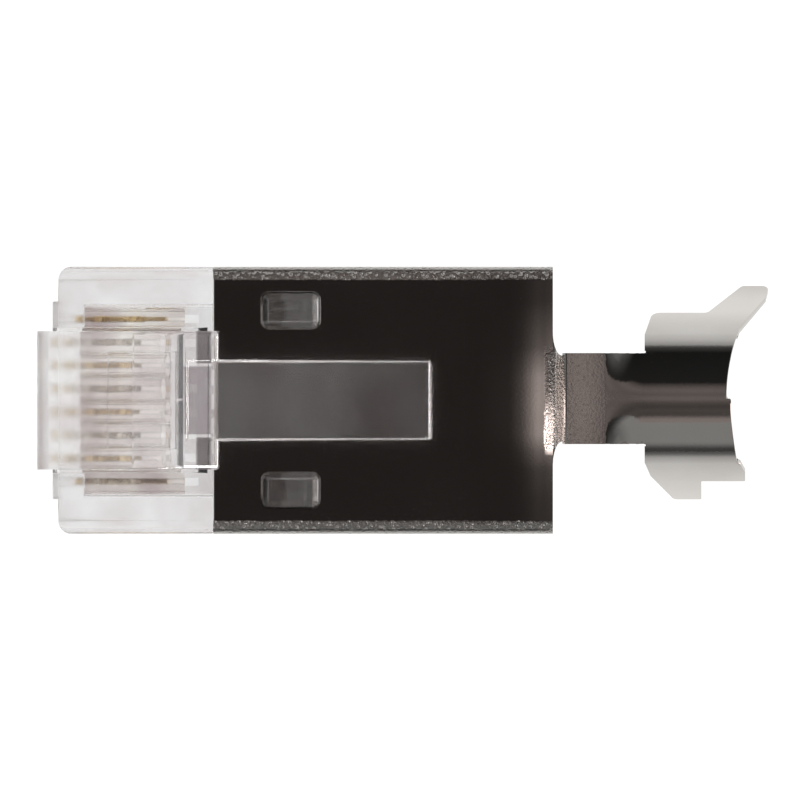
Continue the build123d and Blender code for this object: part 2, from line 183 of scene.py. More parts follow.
def add_edge_mask(tree, value, middle, reach, fade):
    """A mask that is 0 within a reach of a middle value and rises to 1 over a fade beyond it."""
    offset = add_node(tree, "ShaderNodeMath", {0: value, 1: middle}, operation="SUBTRACT")
    away = add_node(tree, "ShaderNodeMath", {0: offset.outputs["Value"]}, operation="ABSOLUTE")
    return add_node(
        tree, "ShaderNodeMapRange",
        {"Value": away.outputs["Value"], "From Min": reach, "From Max": reach + fade},
    ).outputs["Result"]


def merged_copy(node_name, piece_name):
    """A copy of a CAD node as a piece: points merged and flat faces made whole, to take edge rounds."""
    mesh = frame["nodes"][node_name].data.copy()
    mesh.name = piece_name
    form = bmesh.new()
    form.from_mesh(mesh)
    bmesh.ops.remove_doubles(form, verts=form.verts, dist=SAME_PLACE)
    bmesh.ops.dissolve_limit(
        form, angle_limit=SAME_PLANE, verts=form.verts, edges=form.edges, delimit={"NORMAL"}
    )
    form.to_mesh(mesh)
    form.free()
    mesh.materials.clear()
    piece = bpy.data.objects.new(piece_name, mesh)
    bpy.context.scene.collection.objects.link(piece)
    return piece


def settle(piece):
    """Turns a piece's modifiers into plain mesh."""
    evaluated = piece.evaluated_get(bpy.context.evaluated_depsgraph_get())
    mesh = bpy.data.meshes.new_from_object(evaluated)
    piece.modifiers.clear()
    piece.data = mesh


def face_width(face):
    """How wide a face is across its longest edge."""
    return face.calc_area() / max(edge.calc_length() for edge in face.edges)


def is_true_edge(edge, facet_width):
    """True for an edge of the form, false for a line between two facets of a round."""
    if len(edge.link_faces) != 2:
        return False
    angle = edge.calc_face_angle(ZERO)
    wide = min(face_width(face) for face in edge.link_faces) > facet_width
    return angle > CLEAR_TURN or (wide and angle > SLIGHT_TURN)


def turn_between(vert, edge, other):
    """The angle between two edges at a point that they share: half a turn where one runs straight on."""
    return (edge.other_vert(vert).co - vert.co).angle(other.other_vert(vert).co - vert.co)


def gap_between(edge, other):
    """The distance between two edges where one lies beside the other, and a very long one elsewhere."""
    gap = FAR
    for near, far in ((edge, other), (other, edge)):
        start, end = (vert.co for vert in far.verts)
        for vert in near.verts:
            foot, share = intersect_point_line(vert.co, start, end)
            if 0 < share < 1:
                gap = min(gap, (vert.co - foot).length)
    return gap


def edge_room(edge, width):
    """How far the faces beside an edge can be cut back, up to a width, before the cut meets another's."""
    room = width
    for face in edge.link_faces:
        for other in face.edges:
            if not set(edge.verts) & set(other.verts):
                room = min(room, ROOM_SHARE * gap_between(edge, other))
    for vert in edge.verts:
        for other in vert.link_edges:
            turn = turn_between(vert, edge, other) if other != edge else pi
            if turn < RUN_ON:
                room = min(room, ROOM_SHARE * other.calc_length() * sin(turn))
    return room if room > LEAST_SHARE * width else ZERO


def edge_rooms(form, width, facet_width):
    """Every edge's room for a round: edges that run on from one another get the least of theirs."""
    rooms = {
        edge: edge_room(edge, width) if is_true_edge(edge, facet_width) else ZERO for edge in form.edges
    }
    pairs = [
        (edge, other) for vert in form.verts for edge, other in combinations(vert.link_edges, 2)
        if turn_between(vert, edge, other) >= RUN_ON and set(edge.link_faces) & set(other.link_faces)
    ]
    settled = False
    while not settled:
        settled = True
        for edge, other in pairs:
            if rooms[edge] != rooms[other]:
                rooms[edge] = rooms[other] = min(rooms[edge], rooms[other])
                settled = False
    return rooms


def round_edges(piece, width, segments, facet_width=FACET_WIDTH):
    """Rounds a piece's true edges by a width, or by what room each has. An edge without room stays sharp."""
    form = bmesh.new()
    form.from_mesh(piece.data)
    weight = form.edges.layers.float.new("bevel_weight_edge")
    for face in form.faces:
        face.smooth = True
    for edge, room in edge_rooms(form, width, facet_width).items():
        edge[weight] = room / width
        edge.smooth = room > ZERO or not is_true_edge(edge, facet_width)
    form.to_mesh(piece.data)
    form.free()
    bevel = piece.modifiers.new("edge_round", "BEVEL")
    bevel.width = width
    bevel.segments = segments
    bevel.limit_method = "WEIGHT"
    bevel.use_clamp_overlap = False
    flat = piece.modifiers.new("flat_faces", "WEIGHTED_NORMAL")
    flat.keep_sharp = True
    settle(piece)


class PlugStage(bpy.types.PropertyGroup):
    """Camera and light table."""

    frame_width: bpy.props.FloatProperty(
        name="Frame Width", description="Width that the camera takes in", default=34.96 * MM, unit="LENGTH"
    )
    centre_x: bpy.props.FloatProperty(
        name="Frame Centre X", description="Middle of the picture along the plug", default=15.18 * MM,
        unit="LENGTH",
    )
    centre_y: bpy.props.FloatProperty(
        name="Frame Centre Y", description="Middle of the picture across the plug", default=0.013 * MM,
        unit="LENGTH",
    )
    camera_height: bpy.props.FloatProperty(
        name="Camera Height", description="Height of the camera above the table", default=0.3, unit="LENGTH"
    )
    table_size: bpy.props.FloatProperty(
        name="Table Size", description="Side of the square light table", default=4.0, unit="LENGTH"
    )
    table_gap: bpy.props.FloatProperty(
        name="Table Gap", description="Drop from the plug to the table", default=0.02 * MM, unit="LENGTH"
    )
    table_glow: bpy.props.FloatProperty(
        name="Table Glow", description="Light that the table gives to the plug", default=0.9
    )
    table_white: bpy.props.FloatProperty(
        name="Table White", description="Light of the table itself in the picture", default=1.0
    )
    room_light: bpy.props.FloatProperty(
        name="Room Light", description="Strength of the even studio light", default=1.0
    )
    front_light: bpy.props.FloatProperty(
        name="Front Light", description="Strength of the edge light in front", default=28.0
    )
    rear_light: bpy.props.FloatProperty(
        name="Rear Light", description="Strength of the edge light at the tail", default=20.0
    )
    edge_light_centre: bpy.props.FloatProperty(
        name="Edge Light Centre", description="Place along the plug that the edge lights face",
        default=10.0 * MM, unit="LENGTH",
    )
    edge_light_distance: bpy.props.FloatProperty(
        name="Edge Light Distance", description="Distance from the edge lights to the plug", default=0.08,
        unit="LENGTH",
    )
    edge_light_length: bpy.props.FloatProperty(
        name="Edge Light Length", description="Length of each edge light", default=0.1, unit="LENGTH"
    )
    edge_light_width: bpy.props.FloatProperty(
        name="Edge Light Width", description="Width of each edge light", default=0.08, unit="LENGTH"
    )
    light_bounces: bpy.props.IntProperty(
        name="Light Bounces", description="Steps that light may take inside the clear parts", default=32
    )
    strip_light: bpy.props.FloatProperty(
        name="Strip Light", description="Strength of the soft strip at the nose's side", default=1.5
    )
    card_colour: bpy.props.StringProperty(
        name="Card Colour", description="Warm tone of the card over the plug, as hex", default="FFEFEB"
    )
    card_level: bpy.props.FloatProperty(
        name="Card Level", description="Light of the dark card over the shell", default=0.022
    )
    card_height: bpy.props.FloatProperty(
        name="Card Height", description="Height of the cards over the plug", default=0.06, unit="LENGTH"
    )
    side_card_height: bpy.props.FloatProperty(
        name="Side Card Height", description="Height of the cards beside the shell",
        default=0.026, unit="LENGTH",
    )
    low_card_height: bpy.props.FloatProperty(
        name="Low Card Height", description="Height of the card that lights the shell's rear end",
        default=12.0 * MM, unit="LENGTH",
    )
    corner_card_height: bpy.props.FloatProperty(
        name="Corner Card Height", description="Height of the card that lights the pressed step",
        default=8.04 * MM, unit="LENGTH",
    )
    rear_card_height: bpy.props.FloatProperty(
        name="Rear Card Height", description="Height of the standing card's upper edge", default=15.0 * MM,
        unit="LENGTH",
    )
    shell_card_start: bpy.props.FloatProperty(
        name="Shell Card Start", description="Where the shell's card begins",
        default=-2.0 * MM, unit="LENGTH",
    )
    glow_card_start: bpy.props.FloatProperty(
        name="Glow Card Start", description="Where the card over the shell's rear end begins",
        default=18.6 * MM, unit="LENGTH",
    )
    corner_card_start: bpy.props.FloatProperty(
        name="Corner Card Start", description="Where the card over the pressed step begins",
        default=21.5 * MM, unit="LENGTH",
    )
    card_overhang: bpy.props.FloatProperty(
        name="Card Overhang", description="How far the tail's card runs past the wings", default=1.0 * MM,
        unit="LENGTH",
    )
    rear_card_x: bpy.props.FloatProperty(
        name="Rear Card X", description="Place of the standing card behind the tail", default=38.0 * MM,
        unit="LENGTH",
    )
    tail_card_start: bpy.props.FloatProperty(
        name="Tail Card Start", description="Where the tail's card begins", default=22.3 * MM, unit="LENGTH"
    )


class PlugPlastic(bpy.types.PropertyGroup):
    """Clear moulded parts."""

    body_colour: bpy.props.StringProperty(
        name="Body Colour", description="Colour of the clear plastic, as hex", default="FFFFFF"
    )
    cloud_colour: bpy.props.StringProperty(
        name="Cloud Colour", description="Colour of the faint clouds in the plastic, as hex",
        default="EEE9E9",
    )
    cloud_size: bpy.props.FloatProperty(
        name="Cloud Size", description="Size of the faint clouds", default=2.5 * MM, unit="LENGTH"
    )
    ripple_size: bpy.props.FloatProperty(
        name="Ripple Size", description="Size of the ripples that cooling leaves",
        default=1.4 * MM, unit="LENGTH",
    )
    ripple_depth: bpy.props.FloatProperty(
        name="Ripple Depth", description="Depth of the ripples", default=0.05 * MM, unit="LENGTH"
    )
    polish_size: bpy.props.FloatProperty(
        name="Polish Size", description="Size of the patches of finer and coarser polish", default=0.5 * MM,
        unit="LENGTH",
    )
    haze: bpy.props.FloatProperty(
        name="Haze", description="Share of the light that the plastic scatters",
        default=0.018, min=0.0, max=1.0,
    )
    wall_reach: bpy.props.FloatProperty(
        name="Wall Reach", description="How far round the load bar the walls are unpolished",
        default=0.1 * MM, unit="LENGTH",
    )
    wall_side_reach: bpy.props.FloatProperty(
        name="Wall Side Reach", description="The same to the load bar's two sides", default=0.15 * MM,
        unit="LENGTH",
    )
    inner_roughness: bpy.props.FloatProperty(
        name="Inner Roughness", description="Roughness of the load bar's cavity", default=0.12
    )
    comb_roughness: bpy.props.FloatProperty(
        name="Comb Roughness", description="Roughness of the slots that the contacts stand in", default=0.22
    )
    # Shoulder Shade and Root Shade are painted reflections: darker tones in the latch's colour that stand in
    # for the image of the dark shell which the thick plastic would refract
    shoulder_shade: bpy.props.StringProperty(
        name="Shoulder Shade", description="Tone of the shell's image in the latch's shoulders, as hex",
        default="908A8A",
    )
    root_shade: bpy.props.StringProperty(
        name="Root Shade", description="Tone of the shell's image in the tab's root, as hex",
        default="C0BABC",
    )
    shoulder_reach: bpy.props.FloatProperty(
        name="Shoulder Reach", description="Half the length of the image in each shoulder",
        default=0.28 * MM, unit="LENGTH",
    )
    shoulder_offset: bpy.props.FloatProperty(
        name="Shoulder Offset", description="Distance of each shoulder's image from the middle",
        default=2.35 * MM, unit="LENGTH",
    )
    shoulder_half_width: bpy.props.FloatProperty(
        name="Shoulder Half Width", description="Half the width of the image in each shoulder",
        default=0.7 * MM, unit="LENGTH",
    )
    root_reach: bpy.props.FloatProperty(
        name="Root Reach", description="Half the length of the image in the tab's root", default=0.55 * MM,
        unit="LENGTH",
    )
    root_half_width: bpy.props.FloatProperty(
        name="Root Half Width", description="Half the width of the image in the tab's root",
        default=1.45 * MM, unit="LENGTH",
    )
    image_gap: bpy.props.FloatProperty(
        name="Image Gap", description="Distance from the images' rear edge to the shell", default=0.1 * MM,
        unit="LENGTH",
    )
    image_fade: bpy.props.FloatProperty(
        name="Image Fade", description="Width over which the images fade", default=0.06 * MM, unit="LENGTH"
    )
    nose_roughness: bpy.props.FloatProperty(
        name="Nose Roughness", description="Roughness of the worn nose", default=0.3
    )
    nose_length: bpy.props.FloatProperty(
        name="Nose Length", description="Length over which the nose's roughness fades", default=2.4 * MM,
        unit="LENGTH",
    )
    bar_colour: bpy.props.StringProperty(
        name="Load Bar Colour", description="Colour of the load bar, as hex", default="FFFDFA"
    )
    bar_haze: bpy.props.FloatProperty(
        name="Load Bar Haze", description="Share of the light that the load bar scatters", default=0.03
    )
    bar_roughness: bpy.props.FloatProperty(
        name="Load Bar Roughness", description="Roughness of the load bar", default=0.06
    )
    bar_index: bpy.props.FloatProperty(
        name="Load Bar Index", description="Refractive index that the milky load bar shows", default=1.12
    )
    gloss_roughness: bpy.props.FloatProperty(
        name="Roughness", description="Roughness of the polished mould faces", default=0.03
    )
    index: bpy.props.FloatProperty(
        name="Refractive Index", description="Refractive index of polycarbonate", default=1.585
    )
    edge_round: bpy.props.FloatProperty(
        name="Edge Round", description="Round left on the body's moulded edges",
        default=0.04 * MM, unit="LENGTH",
    )
    latch_round: bpy.props.FloatProperty(
        name="Latch Round", description="Round left on the latch's edges", default=0.08 * MM, unit="LENGTH"
    )


class PlugMetal(bpy.types.PropertyGroup):
    """Plated sheet metal and contacts."""

    nickel_colour: bpy.props.StringProperty(
        name="Nickel Colour", description="Colour of the bright nickel plate, as hex", default="D6D4D0"
    )
    # The inside's darker colour is painted shade, standing in for the dim light inside the shell that shows
    # through its windows
    inside_shade_colour: bpy.props.StringProperty(
        name="Inside Colour", description="Colour of the dull inside of the shell, as hex", default="827E7A"
    )
    stain_colour: bpy.props.StringProperty(
        name="Stain Colour", description="Colour of the plate's faint stains, as hex", default="C4BFBA"
    )
    stain_size: bpy.props.FloatProperty(
        name="Stain Size", description="Size of the faint stains", default=3.0 * MM, unit="LENGTH"
    )
    nickel_roughness: bpy.props.FloatProperty(
        name="Nickel Roughness", description="Roughness of the plated sheet", default=0.075
    )
    grain_size: bpy.props.FloatProperty(
        name="Grain Size", description="Size of the grain that shows through the plate", default=0.12 * MM,
        unit="LENGTH",
    )
    pit_spacing: bpy.props.FloatProperty(
        name="Pit Spacing", description="Distance between the fine pits that the folds open in the plate",
        default=0.2 * MM, unit="LENGTH",
    )
    grain_depth: bpy.props.FloatProperty(
        name="Grain Depth", description="Depth of the grain and the pits", default=0.06 * MM, unit="LENGTH"
    )
    fold_fade: bpy.props.FloatProperty(
        name="Fold Fade", description="Width over which a fold's rougher strip begins", default=0.08 * MM,
        unit="LENGTH",
    )
    fold_width: bpy.props.FloatProperty(
        name="Fold Width", description="Width of the stretched, rougher strip along each fold",
        default=0.6 * MM, unit="LENGTH",
    )
    sheet: bpy.props.FloatProperty(
        name="Sheet", description="Thickness of the shell's sheet", default=0.25 * MM, unit="LENGTH"
    )
    forming_start: bpy.props.FloatProperty(
        name="Forming Start", description="Where the plate begins to curve",
        default=24.0 * MM, unit="LENGTH",
    )
    forming_end: bpy.props.FloatProperty(
        name="Forming End", description="Where the crimp barrel begins", default=25.87 * MM, unit="LENGTH"
    )
    forming_steps: bpy.props.IntProperty(
        name="Forming Steps", description="Rows of faces between plate and barrel", default=14
    )
    barrel_radius: bpy.props.FloatProperty(
        name="Barrel Radius", description="Outer radius of the crimp barrel",
        default=3.27 * MM, unit="LENGTH",
    )
    tail_crest: bpy.props.FloatProperty(
        name="Tail Crest", description="Height of the plate's outer face", default=6.0 * MM, unit="LENGTH"
    )
    tail_offset: bpy.props.FloatProperty(
        name="Tail Offset", description="How far the tail lies off the middle",
        default=0.075 * MM, unit="LENGTH",
    )
    step_middle: bpy.props.FloatProperty(
        name="Step Middle", description="Place of the pressed step between shell and tail",
        default=21.95 * MM, unit="LENGTH",
    )
    step_reach: bpy.props.FloatProperty(
        name="Step Reach", description="Half the length of the pressed step",
        default=0.25 * MM, unit="LENGTH",
    )
    step_fade: bpy.props.FloatProperty(
        name="Step Fade", description="Length over which the step's rougher strip begins",
        default=0.25 * MM, unit="LENGTH",
    )
    step_side_fade: bpy.props.FloatProperty(
        name="Step Side Fade", description="Width over which the step's rougher strip ends",
        default=0.4 * MM, unit="LENGTH",
    )
    step_half_width: bpy.props.FloatProperty(
        name="Step Half Width", description="Half the width of the pressed step",
        default=1.9 * MM, unit="LENGTH",
    )
    fold_roughness: bpy.props.FloatProperty(
        name="Fold Roughness", description="Roughness of the plate on the folds", default=0.11
    )
    sheet_edge_round: bpy.props.FloatProperty(
        name="Sheet Edge Round", description="Round of the blanked edges", default=0.05 * MM, unit="LENGTH"
    )
    gold_colour: bpy.props.StringProperty(
        name="Gold Colour", description="Colour of the gold plate, as hex", default="EAD09A"
    )
    underplate_colour: bpy.props.StringProperty(
        name="Underplate Colour", description="Colour of the nickel under the gold, as hex",
        default="EAE3D6",
    )
    gold_height: bpy.props.FloatProperty(
        name="Gold Height", description="Height up to which the short blades carry gold", default=1.6 * MM,
        unit="LENGTH",
    )
    gold_fade: bpy.props.FloatProperty(
        name="Gold Fade", description="Height over which the short blades' gold thins out",
        default=0.2 * MM, unit="LENGTH",
    )
    brush_size: bpy.props.FloatProperty(
        name="Brush Size", description="Length of the fine lines that the rolls leave", default=0.6 * MM,
        unit="LENGTH",
    )
    brush_stretch: bpy.props.FloatProperty(
        name="Brush Stretch", description="How many times longer than wide those lines are", default=12.0
    )
    gold_roughness: bpy.props.FloatProperty(
        name="Gold Roughness", description="Roughness of the stamped blades", default=0.24
    )
    blade_edge_round: bpy.props.FloatProperty(
        name="Blade Edge Round", description="Round of the stamped blades", default=0.03 * MM, unit="LENGTH"
    )


def polycarbonate(name, colour, haze, index, inner_roughness, shaded=False):
    """Polycarbonate, injection moulded: polished outside, as the tool left it inside, a faint milk in it."""
    plastic = bpy.context.scene.plug_plastic
    material, tree, shader, coords = new_material(name)
    cloud = add_node(
        tree, "ShaderNodeTexNoise", {"Vector": coords, "Scale": 1 / plastic.cloud_size, "Detail": 3.0}
    )
    share = add_node(
        tree, "ShaderNodeMapRange",
        {"Value": cloud.outputs["Fac"], "From Min": CLOUD_RANGE[0], "From Max": CLOUD_RANGE[1]},
    )
    milk = add_node(
        tree, "ShaderNodeMix",
        {"Factor": share.outputs["Result"], "A": linear(colour), "B": linear(plastic.cloud_colour)},
        data_type="RGBA",
    )
    tone = milk.outputs["Result"]
    # the latch's copy gets the painted reflection of the shell in its shoulders and root
    if shaded:
        tone = shoulder_shade(tree, coords, tone)
    tree.links.new(tone, shader.inputs["Base Color"])
    shader.inputs["IOR"].default_value = index
    shader.inputs["Transmission Weight"].default_value = 1.0 - haze
    ripple = add_node(
        tree, "ShaderNodeTexNoise", {"Vector": coords, "Scale": 1 / plastic.ripple_size, "Detail": 2.0}
    )
    ripple_bump = add_node(
        tree, "ShaderNodeBump",
        {"Strength": RIPPLE_STRENGTH, "Distance": plastic.ripple_depth, "Height": ripple.outputs["Fac"]},
    )
    tree.links.new(ripple_bump.outputs["Normal"], shader.inputs["Normal"])
    fine = add_node(
        tree, "ShaderNodeTexNoise", {"Vector": coords, "Scale": 1 / plastic.polish_size, "Detail": 3.0}
    )
    polished = add_node(
        tree, "ShaderNodeMapRange",
        {"Value": fine.outputs["Fac"], "To Min": plastic.gloss_roughness,
         "To Max": POLISH_SPREAD * plastic.gloss_roughness},
    )
    place = add_node(tree, "ShaderNodeSeparateXYZ", {"Vector": coords})
    low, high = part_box("load_bar")
    near = plastic.wall_reach
    outside = ZERO
    for axis, centre, half in (
        ("X", high.x / 2, high.x / 2 - near), ("Y", ZERO, (high.y - low.y) / 2 + plastic.wall_side_reach),
        ("Z", ZERO, high.z + near),
    ):
        far = add_edge_mask(tree, place.outputs[axis], centre, half, near / 2)
        outside = add_node(tree, "ShaderNodeMath", {0: far, 1: outside}, operation="MAXIMUM").outputs["Value"]
    comb = add_node(
        tree, "ShaderNodeMapRange",
        {"Value": place.outputs["Z"], "From Min": low.z - near, "From Max": low.z,
         "To Min": plastic.comb_roughness, "To Max": inner_roughness},
    )
    nose = add_node(
        tree, "ShaderNodeMapRange",
        {"Value": place.outputs["X"], "From Min": plastic.nose_length, "From Max": ZERO, "To Max": 1.0},
    )
    outer = add_node(
        tree, "ShaderNodeMix",
        {"Factor": nose.outputs["Result"], "A": polished.outputs["Result"], "B": plastic.nose_roughness},
    )
    roughness = add_node(
        tree, "ShaderNodeMix",
        {"Factor": outside, "A": comb.outputs["Result"], "B": outer.outputs["Result"]},
    )
    tree.links.new(roughness.outputs["Result"], shader.inputs["Roughness"])
    return material


def shoulder_shade(tree, coords, tone):
    """Paints a darker tone into the latch's shoulders and the tab's root: a painted reflection that stands in
    for the image of the shell which the plastic there would refract.
    """
    plastic = bpy.context.scene.plug_plastic
    place = add_node(tree, "ShaderNodeSeparateXYZ", {"Vector": coords})
    edge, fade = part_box("shield")[0].x - plastic.image_gap, plastic.image_fade
    shoulder = (
        plastic.shoulder_shade, plastic.shoulder_reach, plastic.shoulder_offset, plastic.shoulder_half_width
    )
    root = (plastic.root_shade, plastic.root_reach, ZERO, plastic.root_half_width)
    for shade, reach, middle, half_width in (shoulder, root):
        along = add_edge_mask(tree, place.outputs["X"], edge - reach, reach, fade)
        across = add_node(tree, "ShaderNodeMath", {0: place.outputs["Y"]}, operation="ABSOLUTE")
        beside = add_edge_mask(tree, across.outputs["Value"], middle, half_width, fade)
        clear = add_node(tree, "ShaderNodeMath", {0: along, 1: beside}, operation="MAXIMUM")
        tone = add_node(
            tree, "ShaderNodeMix", {"Factor": clear.outputs["Value"], "A": linear(shade), "B": tone},
            data_type="RGBA",
        ).outputs["Result"]
    return tone


def moulded_joint():
    """Solid plastic where the latch's root joins the body: the two are one moulding, so no surface shows."""
    material, tree, shader, coords = new_material("moulded_joint")
    shader.inputs["Base Color"].default_value = (1.0, 1.0, 1.0, 1.0)
    shader.inputs["IOR"].default_value = 1.001
    shader.inputs["Roughness"].default_value = 0.0
    shader.inputs["Specular IOR Level"].default_value = 0.0
    shader.inputs["Transmission Weight"].default_value = 1.0
    return material


def bright_nickel():
    """Bright nickel over brass sheet: a near mirror with fine rolling grain and small rough specks."""
    metal = bpy.context.scene.plug_metal
    material, tree, shader, coords = new_material("bright_nickel_plate")
    shader.inputs["Metallic"].default_value = 1.0
    grain = add_node(
        tree, "ShaderNodeTexNoise", {"Vector": coords, "Scale": 1 / metal.grain_size, "Detail": 4.0}
    )
    stain = add_node(
        tree, "ShaderNodeTexNoise", {"Vector": coords, "Scale": 1 / metal.stain_size, "Detail": 3.0}
    )
    tint = add_node(
        tree, "ShaderNodeMix",
        {"Factor": stain.outputs["Fac"], "A": linear(metal.nickel_colour), "B": linear(metal.stain_colour)},
        data_type="RGBA",
    )
    low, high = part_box("shield")
    place = add_node(tree, "ShaderNodeSeparateXYZ", {"Vector": coords})
    skin, skin_fade = 0.5 * metal.sheet, 0.02 * MM
    outside = ZERO
    for axis, middle, half in (
        ("X", ZERO, metal.step_middle - metal.step_reach), ("Y", ZERO, high.y - skin),
        ("Z", (low.z + high.z) / 2, (high.z - low.z) / 2 - skin),
    ):
        far = add_edge_mask(tree, place.outputs[axis], middle, half - skin_fade, 2 * skin_fade)
        outside = add_node(tree, "ShaderNodeMath", {0: far, 1: outside}, operation="MAXIMUM").outputs["Value"]
    # the shell's inside takes a darker colour: painted shade for the dim light within the shell
    sheet = add_node(
        tree, "ShaderNodeMix",
        {"Factor": outside, "A": linear(metal.inside_shade_colour), "B": tint.outputs["Result"]}, data_type="RGBA",
    )
    tree.links.new(sheet.outputs["Result"], shader.inputs["Base Color"])
    specks = add_node(
        tree, "ShaderNodeMapRange",
        {"Value": grain.outputs["Fac"], "From Min": SPECK_RANGE[0], "From Max": SPECK_RANGE[1],
         "To Min": metal.nickel_roughness, "To Max": SPECK_SPREAD * metal.nickel_roughness},
    )
    side = add_edge_mask(tree, place.outputs["Y"], ZERO, high.y - metal.fold_width, metal.fold_fade)
    level = add_edge_mask(
        tree, place.outputs["Z"], (low.z + high.z) / 2, (high.z - low.z) / 2 - metal.fold_width,
        metal.fold_fade,
    )
    corner = add_node(tree, "ShaderNodeMath", {0: side, 1: level}, operation="MULTIPLY")
    flat = add_edge_mask(tree, place.outputs["X"], metal.step_middle, metal.step_reach, metal.step_fade)
    beside = add_edge_mask(
        tree, place.outputs["Y"], metal.tail_offset, metal.step_half_width, metal.step_side_fade
    )
    either = add_node(tree, "ShaderNodeMath", {0: flat, 1: beside}, operation="MAXIMUM")
    step = add_node(tree, "ShaderNodeMath", {0: 1.0, 1: either.outputs["Value"]}, operation="SUBTRACT")
    fold = add_node(
        tree, "ShaderNodeMath", {0: corner.outputs["Value"], 1: step.outputs["Value"]}, operation="MAXIMUM"
    ).outputs["Value"]
    roughness = add_node(
        tree, "ShaderNodeMix", {"Factor": fold, "A": specks.outputs["Result"], "B": metal.fold_roughness}
    )
    tree.links.new(roughness.outputs["Result"], shader.inputs["Roughness"])
    strength = add_node(
        tree, "ShaderNodeMapRange",
        {"Value": fold, "To Min": GRAIN_STRENGTH[0], "To Max": GRAIN_STRENGTH[1]},
    )
    bump = add_node(
        tree, "ShaderNodeBump",
        {"Strength": strength.outputs["Result"], "Distance": metal.grain_depth,
         "Height": grain.outputs["Fac"]},
    )
    cells = add_node(tree, "ShaderNodeTexVoronoi", {"Vector": coords, "Scale": 1 / metal.pit_spacing})
    pits = add_node(
        tree, "ShaderNodeMapRange",
        {"Value": cells.outputs["Distance"], "From Min": PIT_RANGE[0], "From Max": PIT_RANGE[1]},
    )
    pitted = add_node(
        tree, "ShaderNodeBump",
        {"Strength": corner.outputs["Value"], "Distance": metal.grain_depth,
         "Height": pits.outputs["Result"], "Normal": bump.outputs["Normal"]},
    )
    tree.links.new(pitted.outputs["Normal"], shader.inputs["Normal"])
    return material


def hard_gold(name, gold_height=None):
    """Hard gold over nickel on stamped bronze: warm, softly brushed by the rolls that made the strip.

    Above a gold height, where one is given, the nickel is bare and looks grey.
    """
    metal = bpy.context.scene.plug_metal
    material, tree, shader, coords = new_material(name)
    shader.inputs["Metallic"].default_value = 1.0
    gold, nickel = linear(metal.gold_colour), linear(metal.underplate_colour)
    shader.inputs["Base Color"].default_value = gold
    if gold_height is not None:
        place = add_node(tree, "ShaderNodeSeparateXYZ", {"Vector": coords})
        bare = add_node(
            tree, "ShaderNodeMapRange",
            {"Value": place.outputs["Z"], "From Min": gold_height, "From Max": gold_height + metal.gold_fade},
        )
        plate = add_node(
            tree, "ShaderNodeMix", {"Factor": bare.outputs["Result"], "A": gold, "B": nickel},
            data_type="RGBA",
        )
        tree.links.new(plate.outputs["Result"], shader.inputs["Base Color"])
    brushed = add_node(
        tree, "ShaderNodeMapping", {"Vector": coords, "Scale": (1.0, 1.0, metal.brush_stretch)}
    )
    lines = add_node(
        tree, "ShaderNodeTexNoise",
        {"Vector": brushed.outputs["Vector"], "Scale": 1 / metal.brush_size, "Detail": 3.0},
    )
    roughness = add_node(
        tree, "ShaderNodeMapRange",
        {"Value": lines.outputs["Fac"], "To Min": BRUSH_SPREAD[0] * metal.gold_roughness,
         "To Max": BRUSH_SPREAD[1] * metal.gold_roughness},
    )
    tree.links.new(roughness.outputs["Result"], shader.inputs["Roughness"])
    return material


